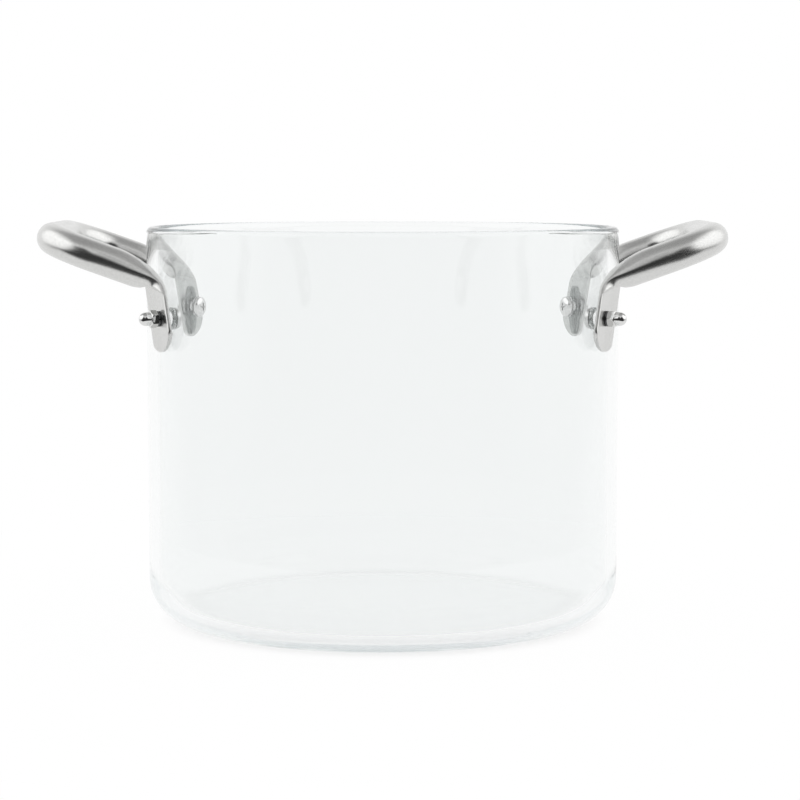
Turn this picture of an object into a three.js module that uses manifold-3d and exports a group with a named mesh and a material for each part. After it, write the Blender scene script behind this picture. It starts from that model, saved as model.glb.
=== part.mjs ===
// A clear glass stovetop pot with two bow handles of bent steel tube, each bolted through the glass.
// Millimetres, +Z up. The origin is the middle of the base, on the surface that the pot stands on.
// The handles lie along X. Each bolt is a stack of pieces along one radius of the vessel.
import * as THREE from "three";
import { mergeVertices, toCreasedNormals } from "three/addons/utils/BufferGeometryUtils.js";
import Module from "manifold-3d";

const wasm = await Module();
wasm.setup();

// Glass vessel
const VESSEL_DIAMETER = 220;
const VESSEL_HEIGHT = 184;
const GLASS_WALL = 5;
const GLASS_FLOOR = 6.5;
const BASE_CORNER_RADIUS = 20;

// Handle tube, bent to a bow that lies in one rising plane
const TUBE_DIAMETER = 14.4;
const TUBE_WALL = 1;
const HANDLE_REACH = 48.2; // from the outside of the glass to the far side of the bow
const BOW_TILT = THREE.MathUtils.degToRad(19.6); // how steeply the bow rises away from the pot
const BOW_RISE = 18.2; // from the bolts up to the corner where the bow meets a tab
const BEND_RADIUS = 24; // of the bow's two round bends, at the middle of the tube
const KNEE_LENGTH = 5.5; // from that corner to where the bend begins, on either side
const TOP_OPENING = 24; // along the tube, from pressed flat to round on its upper side
const BELLY_OPENING = 14; // the same on its lower side, which swells over the fold
const OVAL_SHARE = 0.7; // share of the opening after which the tube's outline is an oval
const FOLD_SHARPNESS = 0.12; // how pointed that oval's two edges are next to the fold
const VALLEY_DEPTH = 0.35; // shallow trough that pressing leaves along the middle of a tab

// Handle tab, the pressed end of the tube that lies against the glass
const TAB_WIDTH = 20;
const TAB_DROP = 15; // from the bolt down to the cut end, along the tab
const CUT_OVERSIZE = 0.8; // how much wider than the tab its round cutting punch is, on each side

// Bolts
const BOLT_SPACING = 102; // between the two bolts of one handle, across the outside of the glass
const BOLT_DROP = 40.2; // from the rim down to the bolts
const SCREW_DIAMETER = 4;
const SCREW_TIP_CHAMFER = 0.5;
const HEAD_DIAMETER = 9.8;
const HEAD_HEIGHT = 2.8;
const HEAD_EDGE = 0.6; // height of the straight edge below the head's dome
const RECESS_SPAN = 4.8;
const RECESS_BLADE = 1;
const RECESS_DEPTH = 1.7;

// Soft pieces between metal and glass
const SEAL_DIAMETER = 10;
const SEAL_THICKNESS = 0.9;
const BUSH_WALL = 1;
const PAD_WIDTH = 9; // oval pad between tab and glass
const PAD_RISE = 10; // from the bolt up to the pad's top
const PAD_FALL = 13.5; // from the bolt down to its bottom
const PAD_THICKNESS = 1;

// Spring washer and cap nut
const SPRING_WASHER_DIAMETER = 7;
const SPRING_WASHER_THICKNESS = 0.9;
const SPRING_WASHER_SPLIT = 0.5;
const NUT_ACROSS_FLATS = 7;
const NUT_HEX_HEIGHT = 3.2;
const NUT_HEIGHT = 8.2;
const NUT_DOME_DIAMETER = 6.1;
const NUT_CAP_THICKNESS = 1.8; // metal left between the blind bore and the top of the dome
const NUT_TURN = THREE.MathUtils.degToRad(30); // how much further the left handle's nuts were turned

// Clearances
const SEAT_GAP = 0.3; // between two faces that press on each other
const FIT_GAP = 0.3; // all round a screw or sleeve in its hole
const SCREW_END_GAP = 1; // between the screw's tip and the bottom of the nut's bore
const CUT_MARGIN = 4; // how far a cutter stands out of what it cuts

// Fineness of the facets
const VESSEL_SEGMENTS = 72;
const SMALL_SEGMENTS = 20;
const ARC_STEPS = 3; // pairs of facets in a quarter or half circle of a turned outline
const RING_POINTS = 20;
const RING_CROWDING = 0.03; // how far a ring's points draw together round the two folds
const KNEE_STEPS = 5;
const BOW_STEPS = 15;
const WELD_DISTANCE = 1e-4;
const SHARP_ANGLE = THREE.MathUtils.degToRad(36); // edges sharper than this aren't shaded round

// Sizes that follow from those above
const vesselRadius = VESSEL_DIAMETER / 2;
const boreRadius = vesselRadius - GLASS_WALL;
const boltAngle = Math.asin(BOLT_SPACING / 2 / vesselRadius);
const boltHeight = VESSEL_HEIGHT - BOLT_DROP;
const tubeRadius = TUBE_DIAMETER / 2;
const tabThickness = 2 * TUBE_WALL;
const tabFlat = (TAB_WIDTH - tabThickness) / 2; // half the straight part of a tab's section
const clearRadius = SCREW_DIAMETER / 2 + FIT_GAP;
const sleeveRadius = clearRadius + BUSH_WALL;
const glassHoleRadius = sleeveRadius + FIT_GAP;

// Places along a bolt, as distances from the vessel's axis. A flat washer meets the round bore at its sides,
// and the spring washer dips into the tab's trough as far as its rim lets it.
const sealFace = Math.sqrt(boreRadius ** 2 - (SEAL_DIAMETER / 2) ** 2) - SEAT_GAP;
const headFace = sealFace - SEAL_THICKNESS - SEAT_GAP;
const padFace = vesselRadius + SEAT_GAP;
const padEnd = padFace + PAD_THICKNESS;
const tabInnerFace = padEnd + SEAT_GAP;
const tabMiddle = tabInnerFace + tabThickness / 2;
const tabOuterFace = tabInnerFace + tabThickness;
const springWasherFace = tabOuterFace - troughDepth(SPRING_WASHER_DIAMETER / 2) + SEAT_GAP;
const nutFace = springWasherFace + SPRING_WASHER_THICKNESS + SEAT_GAP;
const nutBoreEnd = nutFace + NUT_HEIGHT - NUT_CAP_THICKNESS;
const screwTip = nutBoreEnd - SCREW_END_GAP;

const UP = new THREE.Vector3(0, 0, 1);

// Materials
const glass = { color: 0xf2f7f7, roughness: 0.02, metalness: 0, transparent: true, opacity: 0.35 };
const satinSteel = { color: 0xb9b9b6, roughness: 0.32, metalness: 1 };
const polishedSteel = { color: 0xcfcfce, roughness: 0.12, metalness: 1 };
const springSteel = { color: 0x5c5d5f, roughness: 0.4, metalness: 1 };
const clearSilicone = { color: 0xe8ebea, roughness: 0.45, metalness: 0 };

// Depth of the trough along a tab, at a distance from the tab's middle.
function troughDepth(across) {
  return VALLEY_DEPTH * Math.cos((Math.PI / 2) * Math.min(across / tabFlat, 1)) ** 2;
}

// A geometry with its shared corners merged, its empty triangles dropped and its faces pointing out.
function weld(geometry) {
  const bare = new THREE.BufferGeometry().setAttribute("position", geometry.getAttribute("position"));
  bare.setIndex(geometry.getIndex());
  const merged = mergeVertices(bare, WELD_DISTANCE);
  const old = merged.getIndex().array;
  const position = merged.getAttribute("position");
  const corners = [0, 1, 2].map(() => new THREE.Vector3());
  const kept = [];
  let volume = 0;
  for (let i = 0; i < old.length; i += 3) {
    const [a, b, c] = old.slice(i, i + 3);
    if (a === b || b === c || c === a) continue;
    kept.push(a, b, c);
    corners.forEach((corner, k) => corner.fromBufferAttribute(position, old[i + k]));
    volume += corners[0].dot(corners[1].cross(corners[2]));
  }
  if (volume < 0) kept.reverse();
  return merged.setIndex(kept);
}

function solid(geometry) {
  const welded = weld(geometry);
  return new wasm.Manifold(
    new wasm.Mesh({
      numProp: 3,
      vertProperties: new Float32Array(welded.getAttribute("position").array),
      triVerts: new Uint32Array(welded.getIndex().array),
    }),
  );
}

function surface(made) {
  const { vertProperties, triVerts } = made.getMesh();
  const geometry = new THREE.BufferGeometry();
  geometry.setAttribute("position", new THREE.BufferAttribute(vertProperties, 3));
  return geometry.setIndex(new THREE.BufferAttribute(triVerts, 1));
}

// A solid turned about X: its outline gives the radius first and the place along X second.
function turned(outline, segments = SMALL_SEGMENTS) {
  return solid(new THREE.LatheGeometry(outline, segments).rotateZ(-Math.PI / 2));
}

function rod(radius, start, end) {
  const outline = new THREE.Path().moveTo(0, start).lineTo(radius, start).lineTo(radius, end).lineTo(0, end);
  return turned(outline.getPoints());
}

function ring(innerRadius, outerRadius, start, end) {
  const outline = new THREE.Path().moveTo(innerRadius, start).lineTo(outerRadius, start);
  outline.lineTo(outerRadius, end).lineTo(innerRadius, end).lineTo(innerRadius, start);
  return turned(outline.getPoints());
}

// A flat outline, drawn square to X, made thick from one place along X to another.
function plate(outline, start, end) {
  const options = { depth: end - start, bevelEnabled: false, curveSegments: SMALL_SEGMENTS / 2 };
  const geometry = new THREE.ExtrudeGeometry(outline, options);
  const turn = new THREE.Matrix4().makeBasis(new THREE.Vector3(0, 1, 0), UP, new THREE.Vector3(1, 0, 0));
  return solid(geometry.applyMatrix4(turn).translate(start, 0, 0));
}

function polygon(corners) {
  return new THREE.Shape(corners.map(([x, y]) => new THREE.Vector2(x, y)));
}

// A solid made along a bolt, laid along the radius at a bolt's angle and height.
function alongBolt(made, angle) {
  return solid(surface(made).rotateZ(angle).translate(0, 0, boltHeight));
}

// Glass vessel: wall, floor and rounded rim in one turned profile, less the four bolt holes.
function makeVessel() {
  const innerCorner = BASE_CORNER_RADIUS - GLASS_WALL;
  const rimRadius = GLASS_WALL / 2;
  const rimHeight = VESSEL_HEIGHT - rimRadius;
  const outline = new THREE.Path().moveTo(0, 0).lineTo(vesselRadius - BASE_CORNER_RADIUS, 0);
  outline.absarc(
    vesselRadius - BASE_CORNER_RADIUS, BASE_CORNER_RADIUS, BASE_CORNER_RADIUS, -Math.PI / 2, 0, false,
  );
  outline.lineTo(vesselRadius, rimHeight);
  outline.absarc(vesselRadius - rimRadius, rimHeight, rimRadius, 0, Math.PI, false);
  outline.lineTo(boreRadius, GLASS_FLOOR + innerCorner);
  outline.absarc(boreRadius - innerCorner, GLASS_FLOOR + innerCorner, innerCorner, 0, -Math.PI / 2, true);
  outline.lineTo(0, GLASS_FLOOR);
  const turnedGlass = new THREE.LatheGeometry(outline.getPoints(ARC_STEPS), VESSEL_SEGMENTS);
  let made = solid(turnedGlass.rotateX(Math.PI / 2));
  const drill = rod(glassHoleRadius, boreRadius - CUT_MARGIN, vesselRadius + CUT_MARGIN);
  for (const angle of [boltAngle, -boltAngle, Math.PI - boltAngle, Math.PI + boltAngle]) {
    made = made.subtract(alongBolt(drill, angle));
  }
  return surface(made);
}

// Outline of the tube where it is pressed to a height above and one below its middle line, as points
// [across, up]. On a tab it has two straight sides joined by half circles, and it swells to an oval with
// pointed edges on the way to the round tube. Points lie closer together round the two folds.
function pressedOutline(top, belly, sharpness) {
  const halfHeight = (top + belly) / 2;
  const pressed = (tubeRadius - halfHeight) / (tubeRadius - tabThickness / 2);
  const flat = pressed * tabFlat;
  const quarterArc = (Math.PI / 2) * halfHeight;
  const quarterOutline = quarterArc + flat;
  const oval = THREE.MathUtils.smoothstep(1 - pressed, 0, OVAL_SHARE);
  const points = [];
  for (let k = 0; k < RING_POINTS; k++) {
    const quarter = Math.floor((4 * k) / RING_POINTS);
    const share = k / RING_POINTS - RING_CROWDING * Math.sin((4 * Math.PI * k) / RING_POINTS);
    const run = (share * 4 - quarter) * quarterOutline;
    const walked = quarter % 2 === 1 ? quarterOutline - run : run;
    const bend = Math.min(walked, quarterArc) / halfHeight;
    const straight = Math.max(walked - quarterArc, 0);
    const across = flat - straight + halfHeight * Math.cos(bend);
    const trough = straight > 0 ? pressed * troughDepth((tabFlat * (flat - straight)) / flat) : 0;
    const inside = Math.max(1 - (across / (flat + halfHeight)) ** 2, 0);
    const height = quarter < 2 ? top : belly;
    const up = height * THREE.MathUtils.lerp(Math.sin(bend), inside ** (0.5 + sharpness), oval) - trough;
    points.push([quarter === 1 || quarter === 2 ? -across : across, quarter < 2 ? up : -up]);
  }
  return points;
}

// The handle at +X is a flat bow whose pressed ends are folded down along slanting creases, so that each tab
// lies square to its bolt. These are the directions at the front end.
function foldAtFront() {
  const tabNormal = new THREE.Vector3(Math.cos(boltAngle), -Math.sin(boltAngle), 0);
  const bowNormal = new THREE.Vector3(-Math.sin(BOW_TILT), 0, Math.cos(BOW_TILT));
  const bowOut = new THREE.Vector3(Math.cos(BOW_TILT), 0, Math.sin(BOW_TILT));
  const crease = bowNormal.clone().cross(tabNormal).normalize();
  const alongCrease = bowOut.dot(crease);
  const acrossCrease = Math.sqrt(1 - alongCrease ** 2);
  const tabUp = tabNormal.clone().cross(crease).multiplyScalar(acrossCrease);
  tabUp.addScaledVector(crease, alongCrease);
  const slant = alongCrease / acrossCrease;
  return { tabNormal, bowNormal, bowOut, tabUp, slant, across: crease.divideScalar(acrossCrease) };
}

// Places along the tube's middle line, from the front tab's end to the middle of the bow, each with the
// direction of the line and the distance walked since the bend at the tab began.
function handleStations({ tabNormal, bowOut, tabUp }) {
  const bolt = tabNormal.clone().multiplyScalar(tabMiddle).setZ(boltHeight);
  const corner = bolt.clone().addScaledVector(tabUp, BOW_RISE / tabUp.z);
  const bowDepth = (vesselRadius + HANDLE_REACH - tubeRadius - corner.x) / bowOut.x;
  const inBow = ({ x, y }) => new THREE.Vector3(0, y, 0).addScaledVector(bowOut, x);
  const fromCorner = (flat) => inBow(flat).add(new THREE.Vector3(corner.x, 0, corner.z));

  const bow = new THREE.Path().moveTo(KNEE_LENGTH, corner.y).lineTo(bowDepth - BEND_RADIUS, corner.y);
  bow.absarc(bowDepth - BEND_RADIUS, corner.y + BEND_RADIUS, BEND_RADIUS, -Math.PI / 2, 0, false);
  bow.lineTo(bowDepth, 0);
  const bendStart = corner.clone().addScaledVector(tabUp, -KNEE_LENGTH);
  const knee = new THREE.QuadraticBezierCurve3(bendStart, corner, fromCorner(bow.getPoint(0)));

  const tabEnd = bolt.clone().addScaledVector(tabUp, -TAB_DROP - CUT_MARGIN);
  const stations = [{ point: tabEnd, along: tabUp, onBow: false }];
  for (let i = 0; i <= KNEE_STEPS; i++) {
    const share = i / KNEE_STEPS;
    stations.push({ point: knee.getPoint(share), along: knee.getTangent(share), onBow: false });
  }
  for (let i = 1; i <= BOW_STEPS; i++) {
    const share = i / BOW_STEPS;
    const along = inBow(bow.getTangentAt(share));
    stations.push({ point: fromCorner(bow.getPointAt(share)), along, onBow: true });
  }
  stations.forEach((station, i) => {
    const before = stations[i - 1];
    station.walked = i < 2 ? 0 : before.walked + station.point.distanceTo(before.point);
  });
  return stations;
}

// Handle at +X: rings of tube outline along the line, joined, then the round ends and bolt holes cut.
function makeHandle() {
  const fold = foldAtFront();
  const kneeWalk = 2 * KNEE_LENGTH;
  const half = handleStations(fold).map(({ point, along, onBow, walked }) => {
    const opened = (length) => Math.sin((Math.PI / 2) * Math.min(walked / length, 1));
    const pressedTo = (length) => THREE.MathUtils.lerp(tabThickness / 2, tubeRadius, opened(length));
    const across = onBow ? fold.bowNormal.clone().cross(along) : fold.across.clone();
    const up = along.clone().cross(across).normalize();
    const squared = THREE.MathUtils.smoothstep(walked, kneeWalk, TOP_OPENING);
    if (onBow) across.addScaledVector(along, fold.slant * (1 - squared));
    const sharpness = FOLD_SHARPNESS * (1 - squared);
    const outline = pressedOutline(pressedTo(TOP_OPENING), pressedTo(BELLY_OPENING), sharpness);
    return outline.map(([x, y]) => point.clone().addScaledVector(across, x).addScaledVector(up, y));
  });
  const toBack = (p) => new THREE.Vector3(p.x, -p.y, p.z);
  const backHalf = half.slice(0, -1).reverse();
  let made = solid(loft([...half, ...backHalf.map((outline) => outline.map(toBack))]));
  const drill = rod(clearRadius, tabInnerFace - CUT_MARGIN, tabOuterFace + CUT_MARGIN);
  const lean = Math.acos(fold.tabUp.z);
  for (const sign of [-1, 1]) {
    const cutter = solid(surface(makeEndCutter()).rotateX(sign * lean));
    made = made.subtract(alongBolt(drill, sign * boltAngle)).subtract(alongBolt(cutter, sign * boltAngle));
  }
  return surface(made);
}

// What the punch takes off below a tab's round end.
function makeEndCutter() {
  const radius = TAB_WIDTH / 2 + CUT_OVERSIZE;
  const middle = radius - TAB_DROP;
  const side = radius + CUT_MARGIN;
  const bottom = -TAB_DROP - TAB_WIDTH;
  const outline = new THREE.Shape().moveTo(-side, middle).lineTo(-radius, middle);
  outline.absarc(0, middle, radius, Math.PI, 2 * Math.PI, false);
  outline.lineTo(side, middle).lineTo(side, bottom).lineTo(-side, bottom);
  return plate(outline, tabInnerFace - CUT_MARGIN, tabOuterFace + CUT_MARGIN);
}

// One closed skin over a row of rings that have the same number of points.
function loft(rings) {
  const count = rings[0].length;
  const positions = rings.flat().flatMap((p) => p.toArray());
  const index = [];
  for (let i = 0; i + 1 < rings.length; i++) {
    for (let k = 0; k < count; k++) {
      const [a, b] = [i * count + k, i * count + ((k + 1) % count)];
      index.push(a, b, a + count, b, b + count, a + count);
    }
  }
  const cap = (first, reversed) => {
    for (let k = 1; k + 1 < count; k++) {
      index.push(first, ...(reversed ? [first + k + 1, first + k] : [first + k, first + k + 1]));
    }
  };
  cap(0, true);
  cap((rings.length - 1) * count, false);
  const geometry = new THREE.BufferGeometry();
  geometry.setAttribute("position", new THREE.Float32BufferAttribute(positions, 3));
  return geometry.setIndex(index);
}

// Screw: domed head inside the pot, plain shank through the stack, cross recess in the head.
function makeScrew() {
  const headRadius = HEAD_DIAMETER / 2;
  const screwRadius = SCREW_DIAMETER / 2;
  const domeFoot = headFace - HEAD_EDGE;
  const outline = new THREE.Path().moveTo(0, domeFoot - (HEAD_HEIGHT - HEAD_EDGE));
  outline.absellipse(0, domeFoot, headRadius, HEAD_HEIGHT - HEAD_EDGE, -Math.PI / 2, 0, false);
  outline.lineTo(headRadius, headFace).lineTo(screwRadius, headFace);
  outline.lineTo(screwRadius, screwTip - SCREW_TIP_CHAMFER);
  outline.lineTo(screwRadius - SCREW_TIP_CHAMFER, screwTip).lineTo(0, screwTip);
  const [reach, blade] = [RECESS_SPAN / 2, RECESS_BLADE / 2];
  const arm = [
    [reach, -blade],
    [reach, blade],
    [blade, blade],
  ];
  const quarterTurn = ([x, y]) => [-y, x];
  const cross = [0, 1, 2, 3].flatMap((turns) =>
    arm.map((corner) => Array.from({ length: turns }).reduce(quarterTurn, corner)),
  );
  const headTop = headFace - HEAD_HEIGHT;
  const recess = plate(polygon(cross), headTop - CUT_MARGIN, headTop + RECESS_DEPTH);
  return surface(turned(outline.getPoints(ARC_STEPS)).subtract(recess));
}

// Seal washer: a soft ring between the screw head and the inside of the glass.
function makeSealWasher() {
  return surface(ring(clearRadius, SEAL_DIAMETER / 2, sealFace - SEAL_THICKNESS, sealFace));
}

// Bush: a soft sleeve in the glass hole with an oval pad that keeps the tab off the glass.
function makeBush() {
  const [padMiddle, padHalf] = [(PAD_RISE - PAD_FALL) / 2, (PAD_RISE + PAD_FALL) / 2];
  const pad = new THREE.Shape().absellipse(0, padMiddle, PAD_WIDTH / 2, padHalf, 0, 2 * Math.PI, false);
  const sleeve = rod(sleeveRadius, sealFace + SEAT_GAP, padEnd);
  const bore = rod(clearRadius, sealFace - CUT_MARGIN, padEnd + CUT_MARGIN);
  return surface(plate(pad, padFace, padEnd).add(sleeve).subtract(bore));
}

// Spring washer: a split ring under the nut.
function makeSpringWasher() {
  const radius = SPRING_WASHER_DIAMETER / 2;
  const split = SPRING_WASHER_SPLIT / radius / 2;
  const outline = new THREE.Shape().absarc(0, 0, radius, split, 2 * Math.PI - split, false);
  outline.absarc(0, 0, clearRadius, 2 * Math.PI - split, split, true);
  return surface(plate(outline, springWasherFace, springWasherFace + SPRING_WASHER_THICKNESS));
}

// Cap nut: a hexagon with turned-off corners, a dome on it and a blind bore for the screw.
function makeCapNut() {
  const cornerRadius = NUT_ACROSS_FLATS / Math.sqrt(3);
  const flatRadius = NUT_ACROSS_FLATS / 2;
  const domeRadius = NUT_DOME_DIAMETER / 2;
  const hexEnd = nutFace + NUT_HEX_HEIGHT;
  const nutEnd = nutFace + NUT_HEIGHT;
  const corners = [0, 1, 2, 3, 4, 5].map((i) => {
    const angle = (i * Math.PI) / 3;
    return [cornerRadius * Math.cos(angle), cornerRadius * Math.sin(angle)];
  });
  const turnedOff = (cornerRadius - flatRadius) / Math.sqrt(3);
  const barrel = new THREE.Path().moveTo(0, nutFace).lineTo(flatRadius, nutFace);
  barrel.lineTo(cornerRadius, nutFace + turnedOff).lineTo(cornerRadius, hexEnd - turnedOff);
  barrel.lineTo(flatRadius, hexEnd).lineTo(0, hexEnd);
  const dome = new THREE.Path().moveTo(0, hexEnd - turnedOff).lineTo(domeRadius, hexEnd - turnedOff);
  dome.lineTo(domeRadius, nutEnd - domeRadius);
  dome.absarc(0, nutEnd - domeRadius, domeRadius, 0, Math.PI / 2, false);
  const hexagon = plate(polygon(corners), nutFace, hexEnd).intersect(turned(barrel.getPoints()));
  const bore = rod(clearRadius, nutFace - CUT_MARGIN, nutBoreEnd);
  return surface(hexagon.add(turned(dome.getPoints(ARC_STEPS))).subtract(bore));
}

function addMesh(group, name, geometry, material) {
  const shaded = toCreasedNormals(geometry, SHARP_ANGLE);
  const mesh = new THREE.Mesh(shaded, new THREE.MeshStandardMaterial(material));
  mesh.name = name;
  group.add(mesh);
  return mesh;
}

const pot = new THREE.Group();
addMesh(pot, "glass_vessel", makeVessel(), glass);

const handleSides = [
  { side: "right", turn: 0, nutTurn: 0, ends: { front: -boltAngle, back: boltAngle } },
  { side: "left", turn: Math.PI, nutTurn: NUT_TURN, ends: { front: boltAngle, back: -boltAngle } },
];
for (const { side, turn, nutTurn, ends } of handleSides) {
  const sideGroup = new THREE.Group();
  sideGroup.rotation.z = turn;
  addMesh(sideGroup, `${side}_handle`, makeHandle(), satinSteel);
  for (const [end, angle] of Object.entries(ends)) {
    const bolt = new THREE.Group();
    bolt.position.z = boltHeight;
    bolt.rotation.z = angle;
    const name = (piece) => `${side}_${end}_${piece}`;
    addMesh(bolt, name("screw"), makeScrew(), polishedSteel);
    addMesh(bolt, name("seal_washer"), makeSealWasher(), clearSilicone);
    addMesh(bolt, name("bush"), makeBush(), clearSilicone);
    addMesh(bolt, name("spring_washer"), makeSpringWasher(), springSteel);
    addMesh(bolt, name("cap_nut"), makeCapNut(), polishedSteel).rotation.x = nutTurn;
    sideGroup.add(bolt);
  }
  pot.add(sideGroup);
}

export default pot;
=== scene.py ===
"""Looks of a clear glass pot with two bow handles of bent steel tube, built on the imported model."""

import math

import bmesh
import bpy
from bpy.props import FloatProperty, FloatVectorProperty, PointerProperty
from bpy.types import Operator, Panel, PropertyGroup
from mathutils import Matrix, Vector


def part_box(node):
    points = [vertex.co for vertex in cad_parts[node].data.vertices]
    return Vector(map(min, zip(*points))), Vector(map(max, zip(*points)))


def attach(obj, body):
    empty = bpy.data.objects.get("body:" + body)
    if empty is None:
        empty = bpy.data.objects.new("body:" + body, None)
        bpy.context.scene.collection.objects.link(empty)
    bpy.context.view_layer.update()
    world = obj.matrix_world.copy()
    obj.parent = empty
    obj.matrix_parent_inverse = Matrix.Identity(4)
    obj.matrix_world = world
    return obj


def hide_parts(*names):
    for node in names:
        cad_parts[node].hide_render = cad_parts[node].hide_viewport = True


bl_info = {
    "name": "Glass Pot",
    "version": (1, 0, 0),
    "blender": (4, 5, 0),
    "location": "View3D > Sidebar > Glass Pot",
    "description": "Builds a glass cooking pot with bolted tube handles on its packed model",
    "category": "Add Mesh",
}

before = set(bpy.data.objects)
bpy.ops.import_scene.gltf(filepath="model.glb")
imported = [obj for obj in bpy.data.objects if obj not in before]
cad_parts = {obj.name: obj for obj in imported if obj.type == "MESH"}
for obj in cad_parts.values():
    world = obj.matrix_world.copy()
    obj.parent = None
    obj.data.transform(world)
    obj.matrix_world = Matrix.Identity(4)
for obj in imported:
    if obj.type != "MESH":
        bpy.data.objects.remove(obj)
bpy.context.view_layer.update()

MM = 0.001
SIDES = ("right", "left")
BOLTS = tuple(f"{side}_{end}" for side in SIDES for end in ("front", "back"))

# Fineness of the meshes
VESSEL_STEPS = 256
TURNED_STEPS = 64
CORNER_STEPS = 20
RIM_STEPS = 28
GLASS_CORNER_STEPS = 32
WALL_ROWS = 8
RING_POINTS = 64
FOLD_SHARE = 0.375  # share of a tab's outline points that lie on its rounded edges
END_STEPS = 16
TAB_STEPS = 12
KNEE_STEPS = 26
BOW_STEPS = 56
NUT_POINTS = 96
CHAMFER_STEPS = 5
WASHER_STEPS = 48
FLOOR_STEPS = 128
WELD = 1e-6
SMOOTH_ANGLE = math.radians(32)
NUT_SMOOTH_ANGLE = math.radians(22)

CORNER_CUT = 0.3  # where the middle point of a corner that is cut off twice lies along its edges
CHAMFER_START = 0.97  # share of a nut's flats at which its chamfers begin
WORN_CORNER = 0.985  # share of a nut's corners that wear leaves
SENSOR_WIDTH = 36.0  # of the camera, in millimetres
GLASS_BOUNCES = 160


def box_middle(node):
    """Middle of a node's box."""
    low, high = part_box(node)
    return (low + high) / 2


def from_axis(node):
    """Distance of a node's middle from the vessel's axis."""
    return box_middle(node).xy.length


def bolt_turn(bolt):
    """Angle of a bolt round the vessel."""
    middle = box_middle(f"{bolt}_seal_washer")
    return math.atan2(middle.y, middle.x)


VESSEL_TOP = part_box("glass_vessel")[1]
BOLT_ANGLE = bolt_turn("right_back")
BOLT_HEIGHT = box_middle("right_back_seal_washer").z


def length(name, description, default):
    """A length that a user may change."""
    return FloatProperty(name=name, description=description, default=default, unit="LENGTH", precision=5)


def angle(name, description, degrees):
    """An angle that a user may change."""
    return FloatProperty(
        name=name, description=description, default=math.radians(degrees), subtype="ANGLE"
    )


def share(name, description, default):
    """A share that a user may change."""
    return FloatProperty(
        name=name, description=description, default=default, subtype="FACTOR", min=0, max=1
    )


def tint(name, description, default):
    """A colour that a user may change."""
    return FloatVectorProperty(
        name=name, description=description, default=default, subtype="COLOR", min=0, max=1
    )


class VesselSettings(PropertyGroup):
    """Sizes and tint of the glass."""

    radius: length("Radius", "Outside radius of the wall", VESSEL_TOP.x)
    height: length("Height", "From the base to the top of the rim", VESSEL_TOP.z)
    wall: length("Wall", "Thickness of the wall", 5 * MM)
    floor: length("Floor", "Thickness of the floor", 6.5 * MM)
    corner: length("Corner", "Outside radius between wall and base", 20 * MM)
    inner_corner: length("Inner corner", "Reach of the gradual rounding inside", 18 * MM)
    inner_fullness: FloatProperty(
        name="Inner fullness", description="2 for a plain arc, more for a gradual start", default=2.5
    )
    hole: length("Hole", "Radius of the bolt holes", 3.6 * MM)
    hole_rows: length("Hole rows", "Height of the finer rows above and below a bolt", 8 * MM)
    straight: length("Straight", "Narrow row next to a rounding, which keeps shading straight", 0.5 * MM)
    colour: tint("Tint", "What the glass lets through", (0.956, 0.966, 0.965))
    depth_colour: tint("Depth colour", "Tint that light takes on deep in the glass", (0.48, 0.56, 0.58))
    depth_tint: FloatProperty(
        name="Depth tint", description="How fast light takes on the depth colour", default=1.5
    )


class HandleSettings(PropertyGroup):
    """Sizes and colour of the bent tube handles."""

    tube: length("Tube", "Outside radius of the tube", 7.2 * MM)
    sheet: length("Sheet", "Thickness of the tube's wall, half of a pressed tab", 1 * MM)
    reach: length("Reach", "Far side of the bow from the vessel's axis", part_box("right_handle")[1].x)
    tilt: angle("Tilt", "How steeply the bow rises away from the pot", 19.6)
    rise: length("Rise", "From the bolts up to the corner between bow and tab", 18.2 * MM)
    bend: length("Bend", "Radius of the bow's round bends", 24 * MM)
    knee: length("Knee", "From that corner to where the knee begins", 5.5 * MM)
    top_opening: length("Top opening", "Along the tube, until its upper side is round", 24 * MM)
    belly_opening: length("Belly opening", "Along the tube, until its lower side is round", 14 * MM)
    fold_end: length("Fold end", "Along the tube, until its outline has no pointed edges", 32 * MM)
    fold_sharpness: share("Fold sharpness", "How pointed the oval is next to the fold", 0.12)
    oval_share: share("Oval share", "Share of the opening after which the outline is an oval", 0.7)
    valley: length("Valley", "Depth of the trough along a tab", 0.35 * MM)
    tab: length("Tab", "Half the width of a tab", 10 * MM)
    drop: length("Drop", "From the bolt down to the tab's cut end", 15 * MM)
    punch: length("Punch", "Radius of the round cut at the end of a tab", 10.8 * MM)
    colour: tint("Steel", "Colour of the satin steel", (0.63, 0.63, 0.62))


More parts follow.
